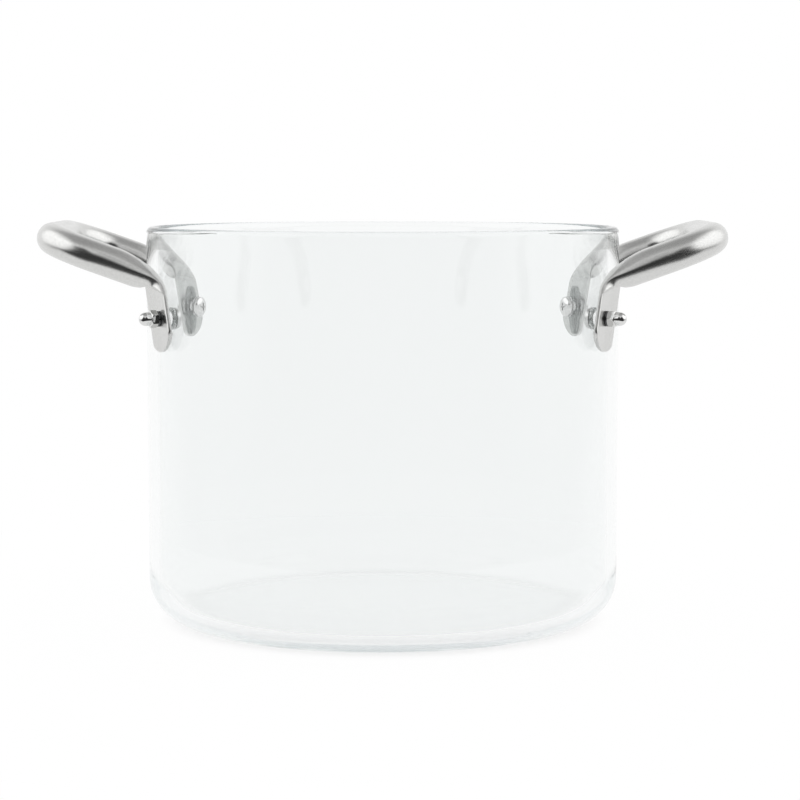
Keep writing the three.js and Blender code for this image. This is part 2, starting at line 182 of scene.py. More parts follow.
class BoltSettings(PropertyGroup):
    """Sizes and colours of the screws, nuts and washers."""

    seat_gap: length("Seat gap", "Between two faces that press on each other", 0.3 * MM)
    drawn_gap: length("Drawn gap", "The same under a tightened nut", 0.05 * MM)
    clear: length("Clear", "Radius of the holes round a screw", 2.3 * MM)
    screw: length("Screw", "Radius of the screw", 2 * MM)
    screw_end: length("Screw end", "From the screw's tip to the bottom of the nut's bore", 1 * MM)
    tip_chamfer: length("Tip chamfer", "Chamfer at the screw's tip", 0.5 * MM)
    head: length("Head", "Radius of the screw's head", 4.9 * MM)
    head_height: length("Head height", "Height of the screw's head", 2.8 * MM)
    head_edge: length("Head edge", "Straight edge below the head's dome", 0.6 * MM)
    recess: length("Recess", "Width of the cross recess", 4.8 * MM)
    blade: length("Blade", "Thickness of the recess's arms", 1 * MM)
    recess_depth: length("Recess depth", "Depth of the cross recess", 1.7 * MM)
    seal: length("Seal", "Radius of a seal washer", 5 * MM)
    seal_thickness: length("Seal thickness", "Thickness of a seal washer", 0.9 * MM)
    sleeve: length("Sleeve", "Outside radius of a bush's sleeve", 3.3 * MM)
    pad: length("Pad", "Half the width of a bush's oval pad", 4.5 * MM)
    pad_rise: length("Pad rise", "From the bolt up to the top of the pad", 10 * MM)
    pad_fall: length("Pad fall", "From the bolt down to the bottom of the pad", 13.5 * MM)
    pad_thickness: length("Pad thickness", "Thickness of the pad", 1 * MM)
    soft_edge: length("Soft edge", "Rounding of the soft pieces' edges", 0.25 * MM)
    washer: length("Washer", "Outside radius of a spring washer", 3.5 * MM)
    washer_thickness: length("Washer thickness", "Thickness of a spring washer", 0.9 * MM)
    washer_split: length("Washer split", "Gap between a spring washer's ends", 0.5 * MM)
    nut: length("Nut", "From a nut's axis to its flats", 3.5 * MM)
    hexagon: length("Hexagon", "Height of a nut's hexagon", 3.2 * MM)
    nut_height: length("Nut height", "Height of a nut with its dome", 8.2 * MM)
    dome: length("Dome", "Radius of a nut's dome", 3.05 * MM)
    cap: length("Cap", "Metal between the bore and the top of the dome", 1.8 * MM)
    nut_turn: angle("Nut turn", "How much further the left handle's nuts are turned", 30)
    colour: tint("Polished steel", "Colour of the screws and nuts", (0.72, 0.72, 0.715))
    # Near-black on purpose: painted shade for the shadow and dark reflection at a nut's foot.
    shaded_washer_colour: tint("Spring steel", "Colour of the spring washers", (0.16, 0.16, 0.165))
    seal_colour: tint("Seal", "What the soft pieces in the wall let through", (0.955, 0.965, 0.96))
    pad_colour: tint("Pad", "What the soft pads behind the tabs let through", (0.52, 0.55, 0.54))


class StageSettings(PropertyGroup):
    """Floor, studio and camera."""

    floor: length("Floor", "Radius of the floor", 0.34)
    floor_edge: length("Floor edge", "Thickness of the floor", 0.01)
    floor_gap: length("Floor gap", "Between the floor and the base", 0.2 * MM)
    distance: length("Distance", "From the camera to the vessel's axis", 1.144)
    camera_height: length("Camera height", "Height of the camera", 0.2097)
    pitch: angle("Pitch", "How far the camera looks down", 5.36)
    yaw: angle("Yaw", "How far the camera looks to the right", 0.4)
    lens: FloatProperty(name="Lens", description="Focal length", default=109.9, unit="CAMERA")
    white: FloatProperty(name="White", description="Strength of the plain white studio", default=1.0)
    fill: FloatProperty(name="Fill", description="How much more light matt surfaces get", default=1.03)
    veil: share("Veil", "How far light that the glass mirrors sees plain white", 0.5)
    clear_veil: share("Clear veil", "How far light that comes through the glass sees plain white", 0.94)


def vessel_settings():
    return bpy.context.scene.glass_pot_vessel


def handle_settings():
    return bpy.context.scene.glass_pot_handle


def bolt_settings():
    return bpy.context.scene.glass_pot_bolt


def stage_settings():
    return bpy.context.scene.glass_pot_stage


def smoothstep(value, low, high):
    """Eases from 0 to 1 while a value goes from low to high."""
    share = min(max((value - low) / (high - low), 0), 1)
    return share * share * (3 - 2 * share)


def mix(a, b, share):
    """The place at a share of the way from a to b."""
    return a + (b - a) * share


def arc(centre, radii, start, end, steps, fullness=2.0):
    """Points on an ellipse's arc in the XZ plane, angles in degrees from +X towards +Z.

    A fullness above 2 makes it bend gradually from straight at its ends."""
    points = []
    for step in range(steps + 1):
        turn = math.radians(mix(start, end, step / steps))
        place = []
        for middle, radius, reach in zip(centre, radii, (math.cos(turn), math.sin(turn))):
            place.append(middle + radius * math.copysign(abs(reach) ** (2 / fullness), reach))
        points.append(tuple(place))
    return points


def draw_outline(name, points):
    """Draws an outline in the XZ plane, point by point, in a new mesh that stays open in edit mode."""
    bpy.ops.object.select_all(action="DESELECT")
    bpy.ops.mesh.primitive_plane_add(size=MM)
    piece = bpy.context.object
    piece.name = piece.data.name = name
    bpy.ops.object.mode_set(mode="EDIT")
    bpy.ops.mesh.select_all(action="SELECT")
    bpy.ops.mesh.merge(type="CENTER")
    here = points[0]
    bpy.ops.transform.translate(value=(here[0], 0, here[1]))
    for there in points[1:]:
        step = (there[0] - here[0], 0, there[1] - here[1])
        if math.hypot(*step) > WELD:
            bpy.ops.mesh.extrude_region_move(TRANSFORM_OT_translate={"value": step})
            here = there
    return piece


def turn_outline(name, points, axis, steps=TURNED_STEPS):
    """Turns an outline in the XZ plane about an axis through the origin."""
    piece = draw_outline(name, points)
    bpy.ops.mesh.select_all(action="SELECT")
    bpy.ops.mesh.spin(steps=steps, angle=2 * math.pi, center=(0, 0, 0), axis=axis)
    return close_mesh(piece)


def close_mesh(piece):
    """Merges doubles, points the faces outwards and leaves edit mode."""
    bpy.ops.mesh.select_all(action="SELECT")
    bpy.ops.mesh.remove_doubles(threshold=WELD)
    bpy.ops.mesh.normals_make_consistent(inside=False)
    bpy.ops.object.mode_set(mode="OBJECT")
    return piece


def loft(name, rings, closed=False):
    """Extrudes a ring of points from place to place.

    Its ends are filled, unless it is closed: then its last ring meets the first."""
    count = len(rings[0])
    bpy.ops.object.select_all(action="DESELECT")
    bpy.ops.mesh.primitive_circle_add(vertices=count, radius=MM, fill_type="NOTHING")
    piece = bpy.context.object
    piece.name = piece.data.name = name
    bpy.ops.object.mode_set(mode="EDIT")
    bpy.ops.mesh.select_all(action="SELECT")
    for number, ring in enumerate(rings):
        if number:
            bpy.ops.mesh.extrude_region_move(TRANSFORM_OT_translate={"value": (0, 0, 0)})
        mesh = bmesh.from_edit_mesh(piece.data)
        mesh.verts.ensure_lookup_table()
        for corner, place in zip(mesh.verts[number * count :], ring):
            corner.co = place
        bmesh.update_edit_mesh(piece.data)
    bpy.ops.mesh.select_all(action="SELECT")
    if closed:
        return close_mesh(piece)
    bpy.ops.mesh.fill_holes(sides=0)
    bpy.ops.mesh.normals_make_consistent(inside=False)
    bpy.ops.object.mode_set(mode="OBJECT")
    return piece


def pick(piece):
    """Makes a piece the only one that operators act on."""
    bpy.ops.object.select_all(action="DESELECT")
    piece.select_set(True)
    bpy.context.view_layer.objects.active = piece


def cut(piece, cutter):
    """Takes a cutter's shape out of a piece."""
    pick(piece)
    modifier = piece.modifiers.new("Cut", "BOOLEAN")
    modifier.operation = "DIFFERENCE"
    modifier.solver = "EXACT"
    modifier.object = cutter
    bpy.ops.object.modifier_apply(modifier=modifier.name)
    bpy.data.objects.remove(cutter)


def shade(piece, smooth_angle=SMOOTH_ANGLE):
    """Shades a piece round, but for its sharp edges."""
    pick(piece)
    bpy.ops.object.shade_smooth_by_angle(angle=smooth_angle)


def move(piece, matrix):
    """Moves a piece and puts its new place in its mesh."""
    pick(piece)
    piece.matrix_world = matrix
    bpy.ops.object.transform_apply(location=True, rotation=True, scale=True)
    return piece


def copy(piece, name):
    """A copy of a piece with a mesh of its own."""
    pick(piece)
    bpy.ops.object.duplicate(linked=False)
    twin = bpy.context.object
    twin.name = twin.data.name = name
    return twin


def drill(name, radius, start, end, turn):
    """A rod along a bolt's line, for cutting a hole."""
    outline = [(start, 0), (start, radius), (end, radius), (end, 0)]
    rod = turn_outline(name, outline, (1, 0, 0))
    return move(rod, bolt_matrix(turn))


def bolt_matrix(turn, spin=0.0):
    """Lays what was made along +X along the bolt at an angle round the vessel."""
    lift = Matrix.Translation((0, 0, BOLT_HEIGHT))
    return lift @ Matrix.Rotation(turn, 4, "Z") @ Matrix.Rotation(spin, 4, "X")


def finish_piece(piece, node, material):
    """Puts a finished piece in its node's place."""
    piece.data.materials.clear()
    piece.data.materials.append(material)
    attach(piece, "root")
    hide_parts(node)


def spread_on_bolts(first, name, material, left_spin=0.0):
    """Copies a piece made along +X to all four bolts."""
    for bolt in BOLTS:
        spin = left_spin if bolt.startswith("left") else 0.0
        twin = copy(first, f"{bolt}_{name}_look")
        move(twin, bolt_matrix(bolt_turn(bolt), spin))
        finish_piece(twin, f"{bolt}_{name}", material)
    bpy.data.objects.remove(first)


def add_node(tree, kind, **values):
    """Adds a node with its settings, and with its inputs' values."""
    node = tree.nodes.new(kind)
    inputs = values.pop("inputs", {})
    for key, value in values.items():
        setattr(node, key, value)
    for key, value in inputs.items():
        node.inputs[key].default_value = value
    return node


def math_node(tree, operation, first, second=None):
    """A Math node on sockets or numbers. Returns its output."""
    node = add_node(tree, "ShaderNodeMath", operation=operation)
    for number, value in enumerate((first, second)):
        if isinstance(value, (int, float)):
            node.inputs[number].default_value = value
        elif value is not None:
            tree.links.new(value, node.inputs[number])
    return node.outputs[0]


def range_node(tree, value, low, high, to_low, to_high, smooth=True):
    """A Map Range node on a socket. Returns its output."""
    node = add_node(
        tree,
        "ShaderNodeMapRange",
        interpolation_type="SMOOTHSTEP" if smooth else "LINEAR",
        inputs={"From Min": low, "From Max": high, "To Min": to_low, "To Max": to_high},
    )
    tree.links.new(value, node.inputs["Value"])
    return node.outputs["Result"]


def ramp_node(tree, value, stops):
    """A colour ramp on a socket, its stops given as (place, grey). Returns its output."""
    node = add_node(tree, "ShaderNodeValToRGB")
    tree.links.new(value, node.inputs["Fac"])
    elements = node.color_ramp.elements
    while len(elements) > 1:
        elements.remove(elements[-1])
    for number, (place, grey) in enumerate(stops):
        element = elements[0] if number == 0 else elements.new(place)
        element.position = place
        element.color = (grey, grey, grey, 1)
    return node.outputs["Color"]


def mix_node(tree, factor, first, second):
    """A Mix node between two colours, each a socket or a value. Returns its output."""
    node = add_node(tree, "ShaderNodeMix", data_type="RGBA")
    tree.links.new(factor, node.inputs["Factor"])
    for name, colour in (("A", first), ("B", second)):
        if isinstance(colour, tuple):
            node.inputs[name].default_value = colour
        else:
            tree.links.new(colour, node.inputs[name])
    return node.outputs["Result"]


def wear_group():
    """Shared effect: fine grain and soft smudges over a surface."""
    name = "Fine wear"
    if name in bpy.data.node_groups:
        return bpy.data.node_groups[name]
    group = bpy.data.node_groups.new(name, "ShaderNodeTree")
    group.interface.new_socket(name="Place", in_out="INPUT", socket_type="NodeSocketVector")
    for socket in ("Grain scale", "Smudge scale"):
        group.interface.new_socket(name=socket, in_out="INPUT", socket_type="NodeSocketFloat")
    for socket in ("Grain", "Smudge"):
        group.interface.new_socket(name=socket, in_out="OUTPUT", socket_type="NodeSocketFloat")
    entry = add_node(group, "NodeGroupInput")
    result = add_node(group, "NodeGroupOutput")
    grain = add_node(group, "ShaderNodeTexNoise", inputs={"Detail": 4.0, "Roughness": 0.6})
    smudge = add_node(group, "ShaderNodeTexNoise", inputs={"Detail": 2.0, "Distortion": 0.6})
    for noise, scale, output in ((grain, "Grain scale", "Grain"), (smudge, "Smudge scale", "Smudge")):
        group.links.new(entry.outputs["Place"], noise.inputs["Vector"])
        group.links.new(entry.outputs[scale], noise.inputs["Scale"])
        group.links.new(noise.outputs["Fac"], result.inputs[output])
    return group


def new_material(name, **inputs):
    """A material with a Principled shader, its constant inputs set."""
    material = bpy.data.materials.new(name)
    material.use_nodes = True
    shader = material.node_tree.nodes["Principled BSDF"]
    for key, value in inputs.items():
        shader.inputs[key.replace("_", " ")].default_value = value
    return material, material.node_tree, shader


def shared_material(name, make):
    """A material that several steps use, made by the first of them."""
    return bpy.data.materials.get(name) or make()


def add_wear(tree, grain_scale, smudge_scale, place=None):
    """Places the shared wear in a material, on Object coordinates unless a place is given."""
    wear = add_node(tree, "ShaderNodeGroup", node_tree=wear_group())
    wear.inputs["Grain scale"].default_value = grain_scale
    wear.inputs["Smudge scale"].default_value = smudge_scale
    if place is None:
        place = add_node(tree, "ShaderNodeTexCoord").outputs["Object"]
    tree.links.new(place, wear.inputs["Place"])
    return wear


def add_bump(tree, shader, height, strength, distance):
    """Lets a height drive the shader's normal."""
    bump = add_node(tree, "ShaderNodeBump", inputs={"Strength": strength, "Distance": distance})
    tree.links.new(height, bump.inputs["Height"])
    tree.links.new(bump.outputs["Normal"], shader.inputs["Normal"])


def vary_colour(tree, shader, value, dark, light):
    """Lets a value between 0 and 1 mix two colours into the base colour."""
    colours = mix_node(tree, value, (*dark, 1), (*light, 1))
    tree.links.new(colours, shader.inputs["Base Color"])


def shades(colour, share):
    """A colour made darker by a share."""
    return tuple(channel * share for channel in colour)


def glass_material():
    """Clear heat-proof glass, very slightly wavy, with a faint tint that grows with depth."""
    material, tree, shader = new_material(
        "clear_glass", Transmission_Weight=1.0, IOR=1.474, Metallic=0.0, Roughness=0.0
    )
    vessel = vessel_settings()
    wear = add_wear(tree, grain_scale=18.0, smudge_scale=9.0)
    vary_colour(tree, shader, wear.outputs["Smudge"], shades(vessel.colour, 0.995), vessel.colour)
    add_bump(tree, shader, wear.outputs["Grain"], strength=0.02, distance=0.2 * MM)
    depth = add_node(
        tree,
        "ShaderNodeVolumeAbsorption",
        inputs={"Color": (*vessel.depth_colour, 1), "Density": vessel.depth_tint},
    )
    tree.links.new(depth.outputs["Volume"], tree.nodes["Material Output"].inputs["Volume"])
    return material


def satin_steel_material():
    """Stainless steel with a faint speckle, brushed along the tube in fine streaks."""
    material, tree, shader = new_material("satin_steel", Metallic=1.0)
    handle = handle_settings()
    unrolled = add_node(tree, "ShaderNodeUVMap", uv_map="Unrolled")
    split = add_node(tree, "ShaderNodeSeparateXYZ")
    tree.links.new(unrolled.outputs["UV"], split.inputs[0])
    turn = math_node(tree, "MULTIPLY", split.outputs["X"], 2 * math.pi)
    place = add_node(tree, "ShaderNodeCombineXYZ")
    streak_stretch = 0.03
    for axis, operation in (("X", "COSINE"), ("Y", "SINE")):
        around = math_node(tree, "MULTIPLY", math_node(tree, operation, turn), handle.tube)
        tree.links.new(around, place.inputs[axis])
    tree.links.new(math_node(tree, "MULTIPLY", split.outputs["Y"], streak_stretch), place.inputs["Z"])
    streaks = add_wear(tree, grain_scale=2600.0, smudge_scale=700.0, place=place.outputs["Vector"])
    smudges = add_wear(tree, grain_scale=1500.0, smudge_scale=28.0)
    speckle = range_node(tree, smudges.outputs["Grain"], 0.36, 0.64, 0.0, 1.0)
    vary_colour(tree, shader, speckle, shades(handle.colour, 0.95), shades(handle.colour, 1.05))
    blurred = range_node(tree, streaks.outputs["Smudge"], 0.3, 0.7, 0.19, 0.26)
    smudged = range_node(tree, smudges.outputs["Smudge"], 0.45, 0.75, 0.0, 0.04)
    tree.links.new(math_node(tree, "ADD", blurred, smudged), shader.inputs["Roughness"])
    add_bump(tree, shader, streaks.outputs["Grain"], strength=0.12, distance=0.02 * MM)
    return material


def polished_steel_material():
    """Polished stainless steel of the screws and nuts, with fine wear."""
    material, tree, shader = new_material("polished_steel", Metallic=1.0)
    wear = add_wear(tree, grain_scale=1500.0, smudge_scale=160.0)
    colour = bolt_settings().colour
    vary_colour(tree, shader, wear.outputs["Smudge"], shades(colour, 0.94), colour)
    roughness = range_node(tree, wear.outputs["Smudge"], 0.35, 0.75, 0.06, 0.13)
    tree.links.new(roughness, shader.inputs["Roughness"])
    add_bump(tree, shader, wear.outputs["Grain"], strength=0.06, distance=0.02 * MM)
    return material


def spring_steel_material():
    """Spring steel painted near-black as painted shade, for the shadow and dark reflection at a nut's
    foot, with a dull oil film.
    """
    material, tree, shader = new_material("spring_steel_painted_shade", Metallic=1.0)
    wear = add_wear(tree, grain_scale=2200.0, smudge_scale=500.0)
    # The washers' near-black colour is painted shade and painted reflection, not the steel's own tone.
    colour = bolt_settings().shaded_washer_colour
    vary_colour(tree, shader, wear.outputs["Grain"], shades(colour, 0.7), colour)
    roughness = range_node(tree, wear.outputs["Smudge"], 0.3, 0.7, 0.28, 0.42)
    tree.links.new(roughness, shader.inputs["Roughness"])
    add_bump(tree, shader, wear.outputs["Grain"], strength=0.1, distance=0.03 * MM)
    return material


def silicone_material():
    """Translucent heat-proof silicone with a dull skin, clear in the wall and darker outside it."""
    material, tree, shader = new_material("soft_silicone", Transmission_Weight=1.0, IOR=1.41, Metallic=0.0)
    wear = add_wear(tree, grain_scale=1800.0, smudge_scale=300.0)
    place = add_node(tree, "ShaderNodeVectorMath", operation="MULTIPLY")
    place.inputs[1].default_value = (1, 1, 0)
    tree.links.new(add_node(tree, "ShaderNodeTexCoord").outputs["Object"], place.inputs[0])
    from_middle = add_node(tree, "ShaderNodeVectorMath", operation="LENGTH")
    tree.links.new(place.outputs["Vector"], from_middle.inputs[0])
    bolt = bolt_settings()
    wall = vessel_settings().radius
    outside = range_node(tree, from_middle.outputs["Value"], wall, wall + bolt.seat_gap, 0.0, 1.0)
    vary_colour(tree, shader, outside, bolt.seal_colour, bolt.pad_colour)
    roughness = range_node(tree, wear.outputs["Smudge"], 0.3, 0.7, 0.2, 0.26)
    tree.links.new(roughness, shader.inputs["Roughness"])
    add_bump(tree, shader, wear.outputs["Grain"], strength=0.02, distance=0.02 * MM)
    return material


def floor_material():
    """Plain white floor that glows, with a matt ring round the base that shows the base's shadow."""
    material, tree, shader = new_material(
        "white_floor", Metallic=0.0, Specular_IOR_Level=0.0, Roughness=0.9, Emission_Strength=1.0
    )
    place = add_node(tree, "ShaderNodeVectorMath", operation="LENGTH")
    tree.links.new(add_node(tree, "ShaderNodeTexCoord").outputs["Object"], place.inputs[0])
    from_middle = math_node(tree, "DIVIDE", place.outputs["Value"], vessel_settings().radius)
    # How matt the floor is, by the distance from its middle in vessel radii.
    matt_stops = ((0.0, 0.12), (0.76, 0.12), (0.82, 0.2), (0.86, 0.2), (0.96, 0.02))
    matt = ramp_node(tree, from_middle, matt_stops)
    tree.links.new(matt, shader.inputs["Base Color"])
    glow = add_node(tree, "ShaderNodeInvert")
    tree.links.new(matt, glow.inputs["Color"])
    tree.links.new(glow.outputs["Color"], shader.inputs["Emission Color"])
    return material


class GLASS_POT_OT_vessel(Operator):
    """Turns the glass vessel and drills its four bolt holes"""

    bl_idname = "glass_pot.vessel"
    bl_label = "Glass vessel"

    def execute(self, context):
        vessel = vessel_settings()
        bore = vessel.radius - vessel.wall
        inner = vessel.inner_corner
        rim = vessel.wall / 2
        low_row, high_row = BOLT_HEIGHT - vessel.hole_rows, BOLT_HEIGHT + vessel.hole_rows
        rows = [mix(low_row, high_row, row / WALL_ROWS) for row in range(WALL_ROWS + 1)]
        rows.append(vessel.height - rim - vessel.straight)
        base_middle = (vessel.radius - vessel.corner, vessel.corner)
        floor_middle = (bore - inner, vessel.floor + inner)
        outline = [(0, 0), (base_middle[0] - vessel.straight, 0)]
        outline += arc(base_middle, (vessel.corner, vessel.corner), -90, 0, GLASS_CORNER_STEPS)
        outline += [(vessel.radius, row) for row in (base_middle[1] + vessel.straight, *rows)]
        outline += arc((vessel.radius - rim, vessel.height - rim), (rim, rim), 0, 180, RIM_STEPS)
        outline += [(bore, row) for row in (*reversed(rows), floor_middle[1] + vessel.straight)]
        outline += arc(floor_middle, (inner, inner), 0, -90, GLASS_CORNER_STEPS, vessel.inner_fullness)
        outline += [(floor_middle[0] - vessel.straight, vessel.floor), (0, vessel.floor)]
        piece = turn_outline("glass_vessel_look", outline, (0, 0, 1), VESSEL_STEPS)
        margin = vessel.wall
        for bolt in BOLTS:
            cut(piece, drill("hole", vessel.hole, bore - margin, vessel.radius + margin, bolt_turn(bolt)))
        shade(piece)
        finish_piece(piece, "glass_vessel", glass_material())
        return {"FINISHED"}


def trough(across):
    """Depth of the trough along a tab, at a distance from the tab's middle."""
    handle = handle_settings()
    tab_flat = handle.tab - handle.sheet
    return handle.valley * math.cos(math.pi / 2 * min(across / tab_flat, 1)) ** 2


def tube_outline(top, belly, sharpness, half_cut):
    """Outline of the tube, pressed to a height above and below its middle line, as (across, up).

    On a tab it has two straight sides and two rounded edges, and it swells to an oval with pointed edges
    and then to the round tube. A tab's round end is cut off at half_cut on either side."""
    handle = handle_settings()
    tab_flat = handle.tab - handle.sheet
    mean = (top + belly) / 2
    pressed = (handle.tube - mean) / (handle.tube - handle.sheet)
    flat = pressed * tab_flat
    edge_share = mix(1, FOLD_SHARE, pressed)
    oval = smoothstep(1 - pressed, 0, handle.oval_share)
    straight_end = min(flat, half_cut)
    quarter_points = RING_POINTS // 4
    points = []
    for number in range(RING_POINTS):
        quarter, step = divmod(number, quarter_points)
        share = step / quarter_points
        if quarter % 2:
            share = 1 - share
        height = top if quarter < 2 else belly
        if share <= edge_share:
            bend = math.pi / 2 * share / edge_share
            across = min(flat + mean * math.cos(bend), half_cut)
            dip = pressed * trough(tab_flat * straight_end / flat) if flat > WELD else 0
            up = (height - dip) * math.sin(bend)
        else:
            across = straight_end * (1 - share) / (1 - edge_share)
            up = height - pressed * trough(tab_flat * across / flat)
        oval_up = height * max(1 - (across / (flat + mean)) ** 2, 0) ** (0.5 + sharpness)
        up = mix(up, oval_up, oval)
        points.append((-across if quarter in (1, 2) else across, up if quarter < 2 else -up))
    return points


def handle_rings():
    """Rings of the right handle from the front tab's end to the middle of the bow.

    Returns the rings and how far along the tube each one lies."""
    handle, bolt_sizes = handle_settings(), bolt_settings()
    tab_normal = Vector((math.cos(BOLT_ANGLE), -math.sin(BOLT_ANGLE), 0))
    bow_out = Vector((math.cos(handle.tilt), 0, math.sin(handle.tilt)))
    bow_normal = Vector((-math.sin(handle.tilt), 0, math.cos(handle.tilt)))
    sideways = Vector((0, 1, 0))
    crease = bow_normal.cross(tab_normal).normalized()
    along_crease = bow_out.dot(crease)
    across_crease = math.sqrt(1 - along_crease**2)
    tab_up = tab_normal.cross(crease) * across_crease + crease * along_crease
    slant = along_crease / across_crease
    tab_across = crease / across_crease - tab_up * slant

    washer_face = from_axis("right_front_spring_washer") - bolt_sizes.washer_thickness / 2
    tab_middle = washer_face - bolt_sizes.seat_gap + trough(bolt_sizes.washer) - handle.sheet
    bolt = tab_normal * tab_middle + Vector((0, 0, BOLT_HEIGHT))
    corner = bolt + tab_up * (handle.rise / tab_up.z)
    bow_depth = (handle.reach - handle.tube - corner.x) / bow_out.x
    knee_start = corner - tab_up * handle.knee
    knee_end = corner + bow_out * handle.knee
    tab_length = (knee_start - bolt).length

    rings, walks = [], []

    def add_ring(point, across, up, walked, half_cut=math.inf):
        heights = []
        for opening in (handle.top_opening, handle.belly_opening):
            opened = math.sin(math.pi / 2 * min(max(walked, 0) / opening, 1))
            heights.append(mix(handle.sheet, handle.tube, opened))
        fold = 1 - smoothstep(walked, 2 * handle.knee, handle.fold_end)
        outline = tube_outline(*heights, handle.fold_sharpness * fold, half_cut)
        rings.append([point + across * x + up * y for x, y in outline])
        walks.append(walked)

    punch_middle = handle.punch - handle.drop
    widest = math.asin(handle.tab / handle.punch)
    for step in range(1, END_STEPS + 1):
        turn = widest * step / END_STEPS
        place = punch_middle - handle.punch * math.cos(turn)
        half_cut = handle.punch * math.sin(turn)
        add_ring(bolt + tab_up * place, tab_across, -tab_normal, place - tab_length, half_cut)
    full_width = punch_middle - handle.punch * math.cos(widest)
    for step in range(1, TAB_STEPS + 1):
        place = mix(full_width, tab_length, step / TAB_STEPS)
        across = tab_across + tab_up * (slant * smoothstep(place, full_width, tab_length))
        add_ring(bolt + tab_up * place, across, -tab_normal, place - tab_length)
    walked, before = 0.0, knee_start
    for step in range(1, KNEE_STEPS + 1):
        share = step / KNEE_STEPS
        point = mix(mix(knee_start, corner, share), mix(corner, knee_end, share), share)
        along = mix(tab_up, bow_out, share).normalized()
        across = crease / across_crease
        walked, before = walked + (point - before).length, point
        add_ring(point, across, along.cross(across).normalized(), walked)
    knee_walk = walked
    leg = bow_depth - handle.bend - handle.knee
    bend_length = handle.bend * math.pi / 2
    bow_length = leg + bend_length - corner.y - handle.bend
    for step in range(1, BOW_STEPS + 1):
        run = bow_length * step / BOW_STEPS
        turn = min(max((run - leg) / handle.bend, 0), math.pi / 2)
        out = handle.knee + min(run, leg) + handle.bend * math.sin(turn)
        side = corner.y + handle.bend * (1 - math.cos(turn)) + max(run - leg - bend_length, 0)
        point = Vector((corner.x, 0, corner.z)) + bow_out * out + sideways * side
        along = bow_out * math.cos(turn) + sideways * math.sin(turn)
        across = bow_normal.cross(along)
        squared = smoothstep(knee_walk + run, knee_walk, handle.top_opening)
        add_ring(point, across + along * (slant * (1 - squared)), bow_normal, knee_walk + run)
    return rings, walks


class GLASS_POT_OT_handles(Operator):
    """Draws the right handle's tube, drills its tabs and turns a copy to the left"""

    bl_idname = "glass_pot.handles"
    bl_label = "Tube handles"

    def execute(self, context):
        bolt_sizes = bolt_settings()
        half, walks = handle_rings()
        back = [[Vector((p.x, -p.y, p.z)) for p in ring] for ring in reversed(half[:-1])]
        right = loft("right_handle_look", half + back)
        self.unroll(right, walks + [2 * walks[-1] - walk for walk in reversed(walks[:-1])])
        washer = from_axis("right_front_spring_washer")
        margin = bolt_sizes.pad
        for turn in (-BOLT_ANGLE, BOLT_ANGLE):
            cut(right, drill("hole", bolt_sizes.clear, washer - margin, washer + margin, turn))
        shade(right)
        left = copy(right, "left_handle_look")
        move(left, Matrix.Rotation(math.pi, 4, "Z"))
        material = satin_steel_material()
        for side, piece in zip(SIDES, (right, left)):
            finish_piece(piece, f"{side}_handle", material)
        return {"FINISHED"}

    @staticmethod
    def unroll(piece, walks):
        """Gives the tube a UV map: turns round it, and metres along it."""
        mesh = piece.data
        places = mesh.uv_layers.new(name="Unrolled").data
        for face in mesh.polygons:
            numbers = [divmod(corner, RING_POINTS) for corner in face.vertices]
            at_seam = any(number == RING_POINTS - 1 for _, number in numbers)
            for corner, (ring, number) in zip(face.loop_indices, numbers):
                turns = 1.0 if at_seam and number == 0 else number / RING_POINTS
                places[corner].uv = (turns, walks[ring])


class GLASS_POT_OT_screws(Operator):
    """Turns a pan-head screw, cuts its cross recess and copies it to the bolts"""

    bl_idname = "glass_pot.screws"
    bl_label = "Screws"

    def execute(self, context):
        bolt = bolt_settings()
        seal_back = from_axis("right_front_seal_washer") - bolt.seal_thickness / 2
        face = seal_back - bolt.seat_gap
        dome_foot = face - bolt.head_edge
        tip = nut_face() + bolt.nut_height - bolt.cap - bolt.screw_end
        dome = (bolt.head_height - bolt.head_edge, bolt.head)
        outline = arc((dome_foot, 0), dome, 180, 90, CORNER_STEPS)
        outline += [
            (face, bolt.head),
            (face, bolt.screw),
            (tip - bolt.tip_chamfer, bolt.screw),
            (tip, bolt.screw - bolt.tip_chamfer),
            (tip, 0),
        ]
        screw = turn_outline("screw", outline, (1, 0, 0))
        top = face - bolt.head_height
        for turn in (0, math.pi / 2):
            cut(screw, self.recess_arm(top, turn))
        shade(screw)
        material = shared_material("polished_steel", polished_steel_material)
        spread_on_bolts(screw, "screw", material)
        return {"FINISHED"}

    @staticmethod
    def recess_arm(top, turn):
        """One arm of the cross recess: a blade that tapers towards its bottom."""
        bolt = bolt_settings()
        taper = 0.6
        bpy.ops.object.select_all(action="DESELECT")
        bpy.ops.mesh.primitive_cube_add(size=1)
        arm = bpy.context.object
        bpy.ops.object.mode_set(mode="EDIT")
        bpy.ops.mesh.select_all(action="SELECT")
        bpy.ops.transform.resize(value=(2 * bolt.recess_depth, bolt.blade, bolt.recess))
        mesh = bmesh.from_edit_mesh(arm.data)
        for corner in mesh.verts:
            corner.select_set(corner.co.x > 0)
        mesh.select_flush_mode()
        bmesh.update_edit_mesh(arm.data)
        bpy.ops.transform.resize(value=(1, taper, taper), center_override=(bolt.recess_depth, 0, 0))
        bpy.ops.object.mode_set(mode="OBJECT")
        return move(arm, Matrix.Translation((top, 0, 0)) @ Matrix.Rotation(turn, 4, "X"))


def soft_ring(corners):
    """An outline's corners, each cut off a little twice over, as soft pieces' edges are."""
    edge = bolt_settings().soft_edge
    points = []
    for number, corner in enumerate(corners):
        here = Vector(corner)
        before = (Vector(corners[number - 1]) - here).normalized() * edge
        after = (Vector(corners[(number + 1) % len(corners)]) - here).normalized() * edge
        points += [here + before, here + (before + after) * CORNER_CUT, here + after]
    return [*points, points[0]]


